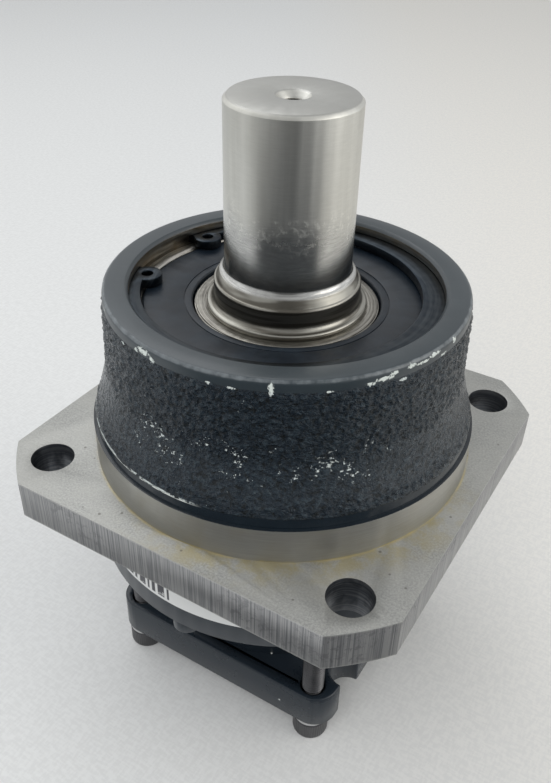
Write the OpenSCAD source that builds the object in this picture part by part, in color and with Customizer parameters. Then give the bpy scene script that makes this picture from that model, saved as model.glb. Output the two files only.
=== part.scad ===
// Axial piston pump, in-line swash-plate type, shown at zero stroke.
// +Z runs up the drive shaft. The origin is the centre of the mounting face,
// which is the top of the square flange at the foot of the pilot.

/* [Mounting flange] */
// Width of the square flange
flange_width = 145; // [142:1:148]
// Diameter that the flange corners are turned to
flange_corner_d = 184; // [180:1:188]
// Thickness of the flange
flange_t = 14; // [14:0.5:15]
// Diameter of the circle through the mounting bolts
bolt_circle_d = 160; // [156:1:162]
// Diameter of a mounting bolt hole
bolt_hole_d = 14.5; // [13:0.5:15]

/* [Front body] */
// Diameter of the machined pilot
pilot_d = 130; // [129:1:131]
// Height of the bare part of the pilot
pilot_h = 12.5; // [12:0.5:14]
// Height of the front rim above the mounting face
rim_z = 60; // [60:0.5:62]
// Diameter of the turned front rim
rim_d = 116.2; // [115:0.1:117]
// Diameter of the front bore that takes the seal carrier
front_bore_d = 100; // [99.8:0.1:100]

/* [Drive shaft] */
// Diameter of the shaft end
shaft_d = 40; // [36:1:42]
// Height of the shaft end above the mounting face
shaft_top_z = 116.8; // [100:1:130]
// Core diameter of the thread in the shaft end
end_thread_core_d = 6.8; // [5:0.1:8.5]
// Depth of the thread in the shaft end
end_thread_depth = 22; // [15:1:26]

/* [Rotating group] */
// Number of pistons
piston_count = 9; // [7:2:9]
// Diameter of a piston
piston_d = 12.9; // [11:0.1:12.9]
// Radius of the circle that the pistons stand on
piston_pitch_r = 25.5; // [25.3:0.1:25.6]
// Diameter of the cylinder block
block_d = 68; // [68:1:69]

/* [Rear case, port block and port plate] */
// Diameter of the rear case
case_d = 132; // [131:1:133]
// Height of the rear case
case_h = 25; // [24.5:0.5:25]
// Width of the port plate at the back, across Y
plate_width = 90; // [89:1:92]
// Length of the port plate, across X
plate_length = 94; // [92:1:96]
// Corner radius of that plate
plate_corner_r = 9; // [7:1:10]
// Thickness of that plate
plate_t = 15; // [14:1:16]
// Distance of the tie screws from the centre lines
tie_screw_offset = 38.3; // [38.1:0.1:38.5]
// Thread diameter of a port
port_d = 16.5; // [14:0.5:17]

/* [Hidden] */
$fn = 96;

// Clearance of a face that runs on another
running = 0.05;
// Overshoot of a cutting tool past the face that it cuts
cut = 1;

// Outside of the front housing
pilot_r = pilot_d / 2;
band_top_z = 16.3;
band_r = pilot_r - 1.1;
flare_top_z = 36;
flare_steps = 10;
flare_power = 1.9;
rim_r = rim_d / 2;
rim_corner_r = 1.5;
neck_r = rim_r + 0.6;
rim_lip_z = rim_z - 4;

// Inside of the front housing, from the front to the back
front_bore_r = front_bore_d / 2;
ring_z = 53.4;
ring_groove_r = 51.75;
ring_t = 3;
carrier_z = 45.4;
bearing_z = 25.2;
bearing_w = 20;
bearing_outer_r = 45;
bearing_bore_r = 25;
web_z = 21.5;
web_open_r = 38;
cavity_r = 47;

// Front seal
carrier_r = front_bore_r - running;
seal_outer_r = 46.5;
seal_shell_t = 2.4;
seal_edge = 1;
sleeve_r = 29.6;
sleeve_top_z = 52.2;
seal_lip_r = sleeve_r + running;
seal_top_z = 53;
lip_z = 48.6;

// Ball bearing, 50 x 90 x 20
ball_r = 6.35;
ball_count = 10;
ball_pitch_r = 35;
ball_z = bearing_z + bearing_w / 2;
raceway_r = ball_r + 0.1;
race_shoulder = 4;

// Drive shaft
shaft_r = shaft_d / 2;
seat_r = 23.3;
collar_r = 25.6;
collar_z = 53.6;
lower_shaft_r = 15;
spline_tip_r = 13.4;
spline_root_r = 11.5;
spline_teeth = 10;
spline_w = 3.6;
journal_r = 10;
journal_top_z = -57;
shaft_bottom_z = -72;

// Swash plate, slippers and pistons
swash_z = 8;
swash_t = 10;
swash_r = 36;
swash_bore_r = 18;
trunnion_z = 13;
trunnion_r = 4.5;
trunnion_hub_r = 7.5;
bush_r = 6.5;
ball_joint_z = 1;
ball_joint_r = 4.2;
slipper_foot_r = 7.3;
slipper_foot_t = 3;
slipper_neck_r = 5.6;
retainer_z = 2.6;
retainer_t = 2.3;
piston_r = piston_d / 2;
piston_bottom_z = -40;
piston_top_z = -3;

// Cylinder block
block_r = block_d / 2;
block_top_z = -6;
valve_top_z = -55;
valve_t = 4;
valve_bottom_z = valve_top_z - valve_t;
block_bottom_z = valve_top_z + running;
block_pocket_z = -34;
block_pocket_r = 18.2;
guide_r = 17.5;
guide_z = -2;
guide_bottom_z = -12;
guide_top_z = 5;
spring_wire_r = 1.4;
spring_r = 15.6;
washer_t = 1.5;
kidney_r = 25.5;
kidney_w = 7;
kidney_end_angle = 24;

// Centring springs of the swash plate
centring_x = 41;
centring_coil_r = 4.2;
centring_wire_r = 0.7;
centring_bottom_z = -34;
centring_top_z = 2;

// Rear case, port block and screws
case_r = case_d / 2;
case_top_z = -flange_t;
case_bottom_z = case_top_z - case_h;
spigot_top_z = -34;
block_flange_r = 50;
block_flange_t = 5;
neck_outer_r = 40;
neck_inner_r = 36;
plate_bottom_z = -90;
plate_top_z = plate_bottom_z + plate_t;
plate_notch_r = 7.5;
plate_notch_y = -26;
needle_bore_r = 15;
needle_r = 1.6;
needle_count = 16;
needle_pitch_r = journal_r + needle_r + running;
needle_shell_r = needle_pitch_r + needle_r + running;
needle_z = -71;
needle_h = 11;
port_x = 26;
passage_r = 5;
passage_top_z = -60;
case_screw_r = 3;
case_screw_circle_r = 59.5;
case_screw_top_z = -4;
tie_screw_r = 4;
tie_washer_t = 1.3;
tie_washer_r = 6.4;
split_w = 1.2;
tie_head_z = plate_bottom_z - tie_washer_t - 8;
tie_screw_top_z = plate_bottom_z - tie_washer_t + 65;
drain_angle = 70;
drain_z = -27;
drain_r = 7;
drain_face_r = 63.5;
label_start = -118;
label_angle = 53;
label_z = -29.6;
label_h = 13;
label_t = 0.2;

// Radius of the cast body's flared skin at height z
function skin_r(z) =
    neck_r + (band_r - neck_r) * pow((flare_top_z - z) / (flare_top_z - band_top_z), flare_power);

// Point on an arc, as radius and height
function arc_point(cr, cz, r, a) = [cr + r * cos(a), cz + r * sin(a)];

// Rings of points along a coil of round wire
function coil_points(r, wire, h, turns, steps, sides) = [
    for (i = [0:turns * steps])
        for (j = [0:sides - 1])
            let (a = 360 * i / steps)
            let (b = 360 * j / sides)
            let (rise = wire + (h - 2 * wire) * i / (turns * steps))
            [(r + wire * cos(b)) * cos(a), (r + wire * cos(b)) * sin(a), rise + wire * sin(b)]
];

// Faces that join those rings, with a flat end at each end of the wire
function coil_faces(rings, sides) = concat(
    [for (i = [0:rings - 2]) for (j = [0:sides - 1])
        [i * sides + j, i * sides + (j + 1) % sides,
         (i + 1) * sides + (j + 1) % sides, (i + 1) * sides + j]],
    [[for (j = [0:sides - 1]) sides - 1 - j]],
    [[for (j = [0:sides - 1]) (rings - 1) * sides + j]]
);

// Coil spring standing on z = 0
module coil(r, wire, h, turns, steps, sides) {
    polyhedron(
        points = coil_points(r, wire, h, turns, steps, sides),
        faces = coil_faces(turns * steps + 1, sides)
    );
}

// Ring with square edges
module ring(outer, inner, z, h) {
    translate([0, 0, z]) difference() {
        cylinder(r = outer, h = h);
        translate([0, 0, -cut]) cylinder(r = inner, h = h + 2 * cut);
    }
}

// Ring of round section
module o_ring(r, section_r, z) {
    translate([0, 0, z]) rotate_extrude() translate([r, 0]) circle(r = section_r, $fn = 32);
}

// Children repeated round the shaft axis
module around(count, start = 0) {
    for (i = [0:count - 1]) rotate(start + 360 * i / count) children();
}

// Children at the four tie screws
module at_tie_screws() {
    for (x = [-1, 1]) for (y = [-1, 1])
        translate([x * tie_screw_offset, y * tie_screw_offset, 0]) children();
}

// Cylinder along Y between two distances from the shaft axis, on one side
module y_pin(side, r, near, far, z) {
    translate([0, side * near, z]) rotate([-90 * side, 0, 0]) cylinder(r = r, h = far - near);
}

// Curved kidney slot, centred on angle a
module kidney(a, z, h) {
    sweep = 180 - 2 * kidney_end_angle;
    translate([0, 0, z]) rotate(a - sweep / 2) {
        rotate_extrude(angle = sweep)
            translate([kidney_r - kidney_w / 2, 0]) square([kidney_w, h]);
        for (e = [0, sweep]) rotate(e) translate([kidney_r, 0, 0]) cylinder(d = kidney_w - 1, h = h);
    }
}

// Section of the splined shaft, grown by a clearance
module spline_bar(clearance, z, h) {
    translate([0, 0, z]) {
        cylinder(r = spline_root_r + clearance, h = h);
        around(spline_teeth)
            translate([0, -spline_w / 2 - clearance, 0])
                cube([spline_tip_r + clearance, spline_w + 2 * clearance, h]);
    }
}

// Socket-head screw, head down, with its shank up to top_z
module cap_screw(r, head_z, head_h, top_z) {
    difference() {
        union() {
            translate([0, 0, head_z + 0.6]) cylinder(d = 3.25 * r, h = head_h - 0.6);
            translate([0, 0, head_z]) cylinder(d1 = 3.25 * r - 1.2, d2 = 3.25 * r, h = 0.6);
            translate([0, 0, head_z + head_h - 0.01]) cylinder(r = r, h = top_z - head_z - head_h - 0.6);
            translate([0, 0, top_z - 0.61]) cylinder(r1 = r, r2 = r - 0.6, h = 0.6);
        }
        translate([0, 0, head_z - cut]) cylinder(r = r * 0.87, h = head_h / 2 + cut, $fn = 6);
    }
}

// Cast front housing with its flange, pilot and bores
module front_housing() {
    skin = [for (i = [0:flare_steps])
        let (z = band_top_z + (flare_top_z - band_top_z) * i / flare_steps) [skin_r(z), z]];
    rim = [for (a = [0:30:90]) arc_point(rim_r - rim_corner_r, rim_z - rim_corner_r, rim_corner_r, a)];
    outline = concat(
        [[0, -flange_t], [pilot_r, -flange_t], [pilot_r, pilot_h], [band_r, pilot_h]],
        skin,
        [[rim_r, rim_lip_z]],
        rim,
        [[0, rim_z]]
    );
    color("dimgray") difference() {
        union() {
            intersection() {
                translate([-flange_width / 2, -flange_width / 2, -flange_t])
                    cube([flange_width, flange_width, flange_t]);
                translate([0, 0, -flange_t - cut]) cylinder(d = flange_corner_d, h = flange_t + 2 * cut);
            }
            rotate_extrude() polygon(outline);
        }
        translate([0, 0, carrier_z]) cylinder(r = front_bore_r, h = rim_z);
        translate([0, 0, rim_z - 1]) cylinder(r1 = front_bore_r, r2 = front_bore_r + 1.01, h = 1.01);
        translate([0, 0, ring_z]) cylinder(r = ring_groove_r, h = ring_t + 0.2);
        translate([0, 0, bearing_z - 0.2]) cylinder(r = bearing_outer_r, h = bearing_w + cut);
        translate([0, 0, web_z - cut]) cylinder(r = web_open_r, h = bearing_z);
        difference() {
            translate([0, 0, -flange_t - cut]) cylinder(r = cavity_r, h = flange_t + cut + web_z);
            for (s = [-1, 1]) y_pin(s, 10, 41.5, cavity_r + cut, trunnion_z);
        }
        for (s = [-1, 1]) y_pin(s, bush_r, 41, 51, trunnion_z);
        around(4, 45) translate([bolt_circle_d / 2, 0, -flange_t - cut])
            cylinder(d = bolt_hole_d, h = flange_t + 2 * cut);
        around(4) translate([case_screw_circle_r, 0, -flange_t - cut])
            cylinder(r = case_screw_r, h = 12 + cut);
    }
}

// Internal snap ring with two eyes and a gap
module retaining_ring() {
    eye_r = 46.2;
    eye_angle = 21.6;
    inner_r = 44.9;
    inner_shift = -2;
    gap_w = 29;
    color("black") translate([0, 0, ring_z + running]) linear_extrude(ring_t) difference() {
        union() {
            difference() {
                circle(r = ring_groove_r - 0.15);
                translate([inner_shift, 0]) circle(r = inner_r);
                translate([-60, -gap_w / 2]) square([30, gap_w]);
            }
            for (s = [-1, 1]) rotate(180 + s * eye_angle) translate([eye_r, 0]) circle(r = 4.8);
        }
        for (s = [-1, 1]) rotate(180 + s * eye_angle) translate([eye_r, 0]) circle(r = 1.9);
    }
}

// Steel ring that holds the shaft seal
module seal_carrier() {
    color("lightgray") difference() {
        ring(carrier_r, seal_outer_r, carrier_z, ring_z - carrier_z);
        ring(carrier_r + cut, 47.3, 48, 2.8);
        translate([0, 0, ring_z - 0.8]) cylinder(r1 = seal_outer_r, r2 = seal_outer_r + 0.85, h = 0.85);
    }
}

// Seal of the carrier against the housing
module carrier_o_ring() {
    color("black") o_ring(48.64, 1.32, 49.4);
}

// Radial shaft seal with its lip
module shaft_seal() {
    r = seal_outer_r - 0.03;
    color("black") difference() {
        rotate_extrude() polygon([
            [seal_lip_r, lip_z], [30.6, 47.2], [31.9, 47.2], [32.5, 49.6], [33.4, 51.2],
            [r - seal_shell_t, 51.2], [r - seal_shell_t, 45.9], [r, 45.9],
            [r, seal_top_z - seal_edge], [r - seal_edge, seal_top_z],
            [30.6, seal_top_z], [30.2, seal_top_z - 0.4], [30.2, 50.4]
        ]);
        ring(32.95, 32.6, seal_top_z - 0.3, 0.3 + cut);
        o_ring(32.5, 0.72, lip_z);
    }
}

// Spring that tightens the seal lip
module garter_spring() {
    color("silver") o_ring(32.5, 0.68, lip_z);
}

// Outer race of the front ball bearing
module bearing_outer_race() {
    color("silver") difference() {
        ring(bearing_outer_r, ball_pitch_r + race_shoulder, bearing_z, bearing_w);
        o_ring(ball_pitch_r, raceway_r, ball_z);
    }
}

// Inner race of the front ball bearing
module bearing_inner_race() {
    color("silver") difference() {
        ring(ball_pitch_r - race_shoulder, bearing_bore_r, bearing_z, bearing_w);
        o_ring(ball_pitch_r, raceway_r, ball_z);
    }
}

// Balls of the front bearing
module bearing_balls() {
    color("gainsboro") around(ball_count) translate([ball_pitch_r, 0, ball_z]) sphere(r = ball_r);
}

// Cage that spaces the balls
module bearing_cage() {
    cage_h = bearing_w - 3;
    color("goldenrod") difference() {
        ring(ball_pitch_r + 1.6, ball_pitch_r - 1.6, ball_z - cage_h / 2, cage_h);
        around(ball_count) translate([ball_pitch_r, 0, ball_z]) sphere(r = raceway_r);
    }
}

// Snap ring that holds the bearing on the shaft
module bearing_lock_ring() {
    color("dimgray") difference() {
        ring(28.5, bearing_bore_r - 1.5, bearing_z - 2, 2);
        translate([0, -3, bearing_z - 2 - cut]) cube([40, 6, 2 + 2 * cut]);
    }
}

// Hardened sleeve that the seal lip runs on
module wear_sleeve() {
    color("silver") difference() {
        ring(sleeve_r, bearing_bore_r, bearing_z + bearing_w, sleeve_top_z - bearing_z - bearing_w);
        ring(sleeve_r + cut, sleeve_r - 0.5, sleeve_top_z - 0.4, 0.4 + cut);
    }
}

// Drive shaft, plain at the front and splined inside the pump
module drive_shaft() {
    cone_z = 63.4;
    seat_top_z = 61;
    foot = [for (a = [180:18:252]) arc_point(shaft_r + 2, cone_z + 2.2, 2, a)];
    seat_edge = [for (a = [90:-30:0]) arc_point(seat_r - 0.8, seat_top_z - 0.8, 0.8, a)];
    journal = [
        [0, shaft_bottom_z], [journal_r - 1, shaft_bottom_z], [journal_r, shaft_bottom_z + 1],
        [journal_r, journal_top_z], [0, journal_top_z]
    ];
    upper = concat(
        [[0, 2], [spline_root_r, 2], [lower_shaft_r, 5.5], [lower_shaft_r, 21],
         [lower_shaft_r + 1, 22], [bearing_bore_r, 22],
         [bearing_bore_r, bearing_z - 2], [bearing_bore_r - 1.5, bearing_z - 2],
         [bearing_bore_r - 1.5, bearing_z], [bearing_bore_r, bearing_z],
         [bearing_bore_r, sleeve_top_z], [collar_r, sleeve_top_z], [collar_r, collar_z - 0.3]],
        [for (a = [270:-18:180]) arc_point(seat_r + 2, collar_z + 2, 2, a)],
        [for (i = [0:len(seat_edge) - 1]) seat_edge[len(seat_edge) - 1 - i]],
        [[shaft_r + 1.6, cone_z]],
        [for (i = [0:len(foot) - 1]) foot[len(foot) - 1 - i]],
        [[shaft_r, shaft_top_z - 1.2], [shaft_r - 1.2, shaft_top_z], [0, shaft_top_z]]
    );
    color("silver") difference() {
        union() {
            rotate_extrude() polygon(journal);
            spline_bar(0, journal_top_z - 0.01, 60);
            rotate_extrude() polygon(upper);
        }
        translate([0, 0, shaft_top_z - end_thread_depth])
            cylinder(d = end_thread_core_d, h = end_thread_depth + cut);
        translate([0, 0, shaft_top_z - 2])
            cylinder(r1 = end_thread_core_d / 2, r2 = end_thread_core_d / 2 + 2, h = 2.01);
    }
}

// Swash plate with its trunnion hubs and centring ears
module swash_plate() {
    color("slategray") difference() {
        union() {
            translate([0, 0, swash_z]) cylinder(r = swash_r, h = swash_t);
            for (s = [-1, 1]) y_pin(s, trunnion_hub_r, 34, 41, trunnion_z);
            translate([-45, -6, swash_z]) cube([90, 12, 6]);
        }
        translate([0, 0, swash_z - cut]) cylinder(r = swash_bore_r, h = swash_t + 2 * cut);
        for (s = [-1, 1]) y_pin(s, trunnion_r, 28, 41 + cut, trunnion_z);
    }
}

// Pins that the swash plate tilts on
module trunnion_pins() {
    color("silver") for (s = [-1, 1]) y_pin(s, trunnion_r, 28, 50.6, trunnion_z);
}

// Plain bushes of those pins
module trunnion_bushes() {
    color("peru") for (s = [-1, 1]) difference() {
        y_pin(s, bush_r, 41.5, 50.8, trunnion_z);
        y_pin(s, trunnion_r, 40, 52, trunnion_z);
    }
}

// Springs that bring the swash plate back to the middle
module centring_springs() {
    color("gray") for (s = [-1, 1]) translate([s * centring_x, 0, centring_bottom_z])
        coil(centring_coil_r, centring_wire_r, centring_top_z - centring_bottom_z, 9, 16, 8);
}

// Plungers between those springs and the swash plate
module centring_plungers() {
    color("silver") for (s = [-1, 1]) translate([s * centring_x, 0, centring_top_z]) {
        cylinder(r = 4.6, h = 2);
        translate([0, 0, 2]) cylinder(r = 3, h = 3);
        translate([0, 0, 5]) cylinder(r1 = 3, r2 = 2, h = 1);
        translate([0, 0, -9]) cylinder(r = 3, h = 9);
    }
}

// Cylinder block with its piston bores, spline and outlet slots
module cylinder_block() {
    color("tan") difference() {
        ring(block_r, 10, block_bottom_z, block_top_z - block_bottom_z);
        translate([0, 0, block_pocket_z]) cylinder(r = block_pocket_r, h = 40);
        spline_bar(running, block_bottom_z - cut, 40);
        around(piston_count) translate([piston_pitch_r, 0, -50]) cylinder(r = piston_r + running, h = 50);
        around(piston_count) translate([piston_pitch_r, 0, block_bottom_z - cut]) cylinder(r = 3.4, h = 10);
    }
}

// Pistons, hollow from behind, each with a ball at the front
module pistons() {
    color("silver") around(piston_count) translate([piston_pitch_r, 0, 0]) difference() {
        union() {
            translate([0, 0, piston_bottom_z]) cylinder(r = piston_r, h = piston_top_z - piston_bottom_z - 1);
            translate([0, 0, piston_top_z - 1.01]) cylinder(r1 = piston_r, r2 = piston_r - 1, h = 1.01);
            translate([0, 0, piston_top_z - 0.01]) cylinder(r = 3, h = 2.5);
            translate([0, 0, ball_joint_z]) sphere(r = ball_joint_r);
        }
        translate([0, 0, piston_bottom_z - cut]) cylinder(r = 4.2, h = 28);
        translate([0, 0, piston_bottom_z]) cylinder(r = 0.8, h = 60);
    }
}

// Slippers that carry the pistons on the swash plate
module slippers() {
    top_z = swash_z - running;
    color("darkkhaki") around(piston_count) translate([piston_pitch_r, 0, 0]) difference() {
        union() {
            translate([0, 0, top_z - slipper_foot_t]) cylinder(r = slipper_foot_r, h = slipper_foot_t);
            translate([0, 0, -0.5]) cylinder(r = slipper_neck_r, h = 5.6);
        }
        translate([0, 0, ball_joint_z]) sphere(r = ball_joint_r + 0.03);
        translate([0, 0, 2]) cylinder(r = 0.8, h = 10);
        translate([0, 0, top_z - 0.6]) cylinder(r = 4, h = 2);
        translate([0, 0, -3]) cylinder(r = 3.9, h = 3.2);
    }
}

// Plate that keeps the slippers on the swash plate
module slipper_retainer() {
    color("gray") difference() {
        ring(35, guide_r - 0.2, retainer_z, retainer_t);
        around(piston_count) translate([piston_pitch_r, 0, 0]) cylinder(r = slipper_neck_r + 0.3, h = 10);
    }
}

// Spherical guide that presses the retainer plate forward
module ball_guide() {
    color("silver") difference() {
        intersection() {
            translate([0, 0, guide_z]) sphere(r = guide_r - 0.25);
            translate([0, 0, guide_bottom_z]) cylinder(r = 30, h = guide_top_z - guide_bottom_z);
        }
        translate([0, 0, guide_bottom_z - cut]) cylinder(r = spline_tip_r + 0.2, h = 12);
        translate([0, 0, -2]) cylinder(r = lower_shaft_r + 0.2, h = 10);
    }
}

// Spring between the block and the guide
module block_spring() {
    color("gray") translate([0, 0, block_pocket_z + washer_t])
        coil(spring_r, spring_wire_r, guide_bottom_z - block_pocket_z - 2 * washer_t, 4, 24, 10);
}

// Washers at the two ends of that spring
module spring_washers() {
    color("silver") {
        ring(17.6, spline_tip_r + 0.3, block_pocket_z, washer_t);
        ring(17.0, spline_tip_r + 0.3, guide_bottom_z - washer_t, washer_t);
    }
}

// Valve plate with its two kidney slots
module valve_plate() {
    color("darkkhaki") difference() {
        ring(block_r, spline_tip_r + 1, valve_bottom_z, valve_t);
        kidney(0, valve_bottom_z - cut, valve_t + 2 * cut);
        kidney(180, valve_bottom_z - cut, valve_t + 2 * cut);
        translate([0, 31.5, valve_bottom_z - cut]) cylinder(r = 1.5, h = 3 + cut);
    }
}

// Pin that stops the valve plate turning
module valve_plate_pin() {
    color("silver") translate([0, 31.5, valve_bottom_z - 6]) cylinder(r = 1.5, h = 8.8);
}

// Drawn shell of the rear needle bearing
module rear_bearing_shell() {
    color("silver") ring(needle_bore_r, needle_shell_r, needle_z, needle_h);
}

// Needles of the rear bearing
module rear_bearing_needles() {
    color("gainsboro") around(needle_count)
        translate([needle_pitch_r, 0, needle_z + 1.5]) cylinder(r = needle_r, h = needle_h - 3);
}

// Cage that spaces the needles
module rear_bearing_cage() {
    color("goldenrod") difference() {
        ring(needle_pitch_r + 0.8, needle_pitch_r - 0.8, needle_z + 0.3, needle_h - 0.6);
        around(needle_count)
            translate([needle_pitch_r, 0, needle_z + 1.4]) cylinder(r = needle_r + running, h = needle_h - 2.8);
    }
}

// Rear case, a thick ring round the rotating group
module rear_case() {
    color([0.16, 0.16, 0.17]) difference() {
        rotate_extrude() polygon([
            [cavity_r, case_top_z], [case_r, case_top_z], [case_r, case_bottom_z + 1.5],
            [case_r - 1.5, case_bottom_z], [cavity_r, case_bottom_z]
        ]);
        ring(51.3, 48.7, case_top_z - 2, 2 + cut);
        around(4) translate([case_screw_circle_r, 0, case_bottom_z - cut])
            cylinder(r = case_screw_r + 0.3, h = case_h + 2 * cut);
        at_tie_screws() translate([0, 0, case_bottom_z - cut]) cylinder(r = tie_screw_r, h = 15 + cut);
        rotate(drain_angle) translate([0, 0, drain_z]) rotate([0, 90, 0]) {
            cylinder(r = drain_r, h = case_r + cut);
            translate([0, 0, drain_face_r]) cylinder(r = 10, h = 5);
        }
    }
}

// Face seal between the rear case and the flange
module case_o_ring() {
    color("black") o_ring(50, 0.99, case_top_z - 1);
}

// Port block with its spigot, flange and neck
module port_block() {
    neck_top_z = case_bottom_z - block_flange_t;
    color([0.1, 0.1, 0.11]) difference() {
        union() {
            translate([0, 0, case_bottom_z])
                cylinder(r = cavity_r - running, h = spigot_top_z - case_bottom_z);
            translate([0, 0, neck_top_z]) cylinder(r = block_flange_r, h = block_flange_t);
            translate([0, 0, plate_top_z]) cylinder(r = neck_outer_r, h = neck_top_z - plate_top_z + cut);
        }
        translate([0, 0, valve_bottom_z])
            cylinder(r = neck_inner_r, h = spigot_top_z - valve_bottom_z + cut);
        ring(cavity_r + cut, 44.9, -37.9, 2.4);
        translate([0, 0, needle_z]) cylinder(r = needle_bore_r, h = 30);
        translate([0, 0, shaft_bottom_z - 2]) cylinder(r = journal_r + 2, h = 10);
        for (a = [0, 180]) {
            kidney(a, valve_bottom_z - 5, 6);
            rotate(a) translate([port_x, 0, plate_top_z - cut])
                cylinder(r = passage_r, h = passage_top_z - plate_top_z + cut);
        }
        translate([0, 31.5, valve_bottom_z - 6]) cylinder(r = 1.5, h = 8);
    }
}

// Plate that closes the pump at the back, with the two ports
module port_plate() {
    x = plate_length / 2 - plate_corner_r;
    y = plate_width / 2 - plate_corner_r;
    color([0.1, 0.1, 0.11]) translate([0, 0, plate_bottom_z]) difference() {
        linear_extrude(plate_t) difference() {
            union() {
                square([plate_length, 2 * y], center = true);
                square([2 * x, plate_width], center = true);
                for (i = [-1, 1]) for (j = [-1, 1]) translate([i * x, j * y]) circle(r = plate_corner_r);
            }
            translate([plate_length / 2, plate_notch_y]) circle(r = plate_notch_r);
        }
        for (i = [-1, 1]) translate([i * port_x, 0, -cut]) cylinder(d = port_d, h = plate_t + 2 * cut);
        at_tie_screws() translate([0, 0, -cut]) cylinder(r = tie_screw_r + 0.5, h = plate_t + 2 * cut);
    }
}

// Seal round the spigot of the port block
module port_block_o_ring() {
    color("black") o_ring(45.94, 1.02, -36.7);
}

// Plug in the case drain
module drain_plug() {
    color("silver") rotate(drain_angle) translate([0, 0, drain_z]) rotate([0, 90, 0]) {
        translate([0, 0, 51]) cylinder(r = drain_r, h = drain_face_r - 50);
        translate([0, 0, drain_face_r + 1]) cylinder(r = 9.4, h = 1);
        translate([0, 0, drain_face_r + 1.99]) cylinder(r = 8.5, h = 4, $fn = 6);
    }
}

// Soft washer under that plug
module drain_plug_washer() {
    color("darkorange") rotate(drain_angle) translate([0, 0, drain_z]) rotate([0, 90, 0])
        ring(9.4, drain_r, drain_face_r, 1);
}

// Screws that hold the rear case to the flange
module case_screws() {
    color("dimgray") around(4) translate([case_screw_circle_r, 0, 0])
        cap_screw(case_screw_r, case_bottom_z - 6, 6, case_screw_top_z);
}

// Long screws that tie the port block to the rear case
module tie_screws() {
    color("dimgray") at_tie_screws() cap_screw(tie_screw_r, tie_head_z, 8, tie_screw_top_z);
}

// Split spring washers of the tie screws
module tie_washers() {
    color("silver") at_tie_screws() difference() {
        ring(tie_washer_r, tie_screw_r + 0.2, plate_bottom_z - tie_washer_t, tie_washer_t);
        translate([tie_screw_r - cut, -split_w / 2, plate_bottom_z - tie_washer_t - cut])
            cube([5, split_w, tie_washer_t + 2 * cut]);
    }
}

// Blank label on the side of the rear case
module identity_label() {
    color("white") rotate(label_start) translate([0, 0, label_z])
        rotate_extrude(angle = label_angle) translate([case_r, 0]) square([label_t, label_h]);
}

front_housing();
retaining_ring();
seal_carrier();
carrier_o_ring();
shaft_seal();
garter_spring();
bearing_outer_race();
bearing_inner_race();
bearing_balls();
bearing_cage();
bearing_lock_ring();
wear_sleeve();
drive_shaft();
swash_plate();
trunnion_pins();
trunnion_bushes();
centring_springs();
centring_plungers();
cylinder_block();
pistons();
slippers();
slipper_retainer();
ball_guide();
block_spring();
spring_washers();
valve_plate();
valve_plate_pin();
rear_bearing_shell();
rear_bearing_needles();
rear_bearing_cage();
rear_case();
case_o_ring();
port_block();
port_plate();
port_block_o_ring();
drain_plug();
drain_plug_washer();
case_screws();
tie_screws();
tie_washers();
identity_label();
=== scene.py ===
"""Axial piston pump on a pale floor: materials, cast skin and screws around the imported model."""
import math

import bpy
import numpy as np
from mathutils import Matrix, Vector, noise


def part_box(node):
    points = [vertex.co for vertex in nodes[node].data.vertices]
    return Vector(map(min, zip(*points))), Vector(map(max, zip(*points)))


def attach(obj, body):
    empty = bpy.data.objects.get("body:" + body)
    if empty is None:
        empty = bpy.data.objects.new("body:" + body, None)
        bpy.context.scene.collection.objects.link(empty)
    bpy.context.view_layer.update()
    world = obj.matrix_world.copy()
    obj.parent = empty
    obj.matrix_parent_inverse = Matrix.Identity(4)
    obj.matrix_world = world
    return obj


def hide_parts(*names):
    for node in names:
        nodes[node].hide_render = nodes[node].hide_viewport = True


MM = 0.001

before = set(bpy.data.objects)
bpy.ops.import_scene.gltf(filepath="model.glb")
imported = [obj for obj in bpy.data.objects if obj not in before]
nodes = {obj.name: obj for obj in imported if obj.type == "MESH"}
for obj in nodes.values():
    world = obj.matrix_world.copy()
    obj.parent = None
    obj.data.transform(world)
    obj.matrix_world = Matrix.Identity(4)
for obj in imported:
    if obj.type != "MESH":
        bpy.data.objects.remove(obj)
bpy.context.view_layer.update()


# ---------------------------------------------------------------- places read from the frame
def top(node):
    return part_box(node)[1].z


def bottom(node):
    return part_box(node)[0].z


FLOOR_Z = bottom("tie_screws")
RIM_Z = top("front_housing")
SHAFT_TOP = top("drive_shaft")
PLATE_BOTTOM = bottom("port_block")
PLATE_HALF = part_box("tie_screws")[1].x
TIE_TOP = top("tie_screws")

# Radii and heights of the front housing, as the design has them
PILOT_R = 65.0 * MM
PILOT_TOP = 12.5 * MM
BAND_TOP = 16.3 * MM
FLARE_TOP = 36.0 * MM
FLARE_POWER = 1.9
RIM_R = 58.1 * MM
NECK_R = RIM_R + 0.6 * MM
BAND_R = PILOT_R - 1.1 * MM
RIM_FOOT = RIM_Z - 4.0 * MM
BORE_R = 50.0 * MM
SEAT_FOOT = 55.8 * MM
SEAT_TOP = 63.2 * MM
BOLT_AT = 56.57 * MM
BOLT_HOLE_R = 7.25 * MM


def skin_radius(z):
    """Radius of the cast body at height z, as part.scad has it."""
    if z >= FLARE_TOP:
        return NECK_R + (RIM_R - NECK_R) * min((z - FLARE_TOP) / (RIM_FOOT - FLARE_TOP), 1.0)
    rise = (FLARE_TOP - z) / (FLARE_TOP - BAND_TOP)
    return NECK_R + (BAND_R - NECK_R) * rise ** FLARE_POWER


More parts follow.
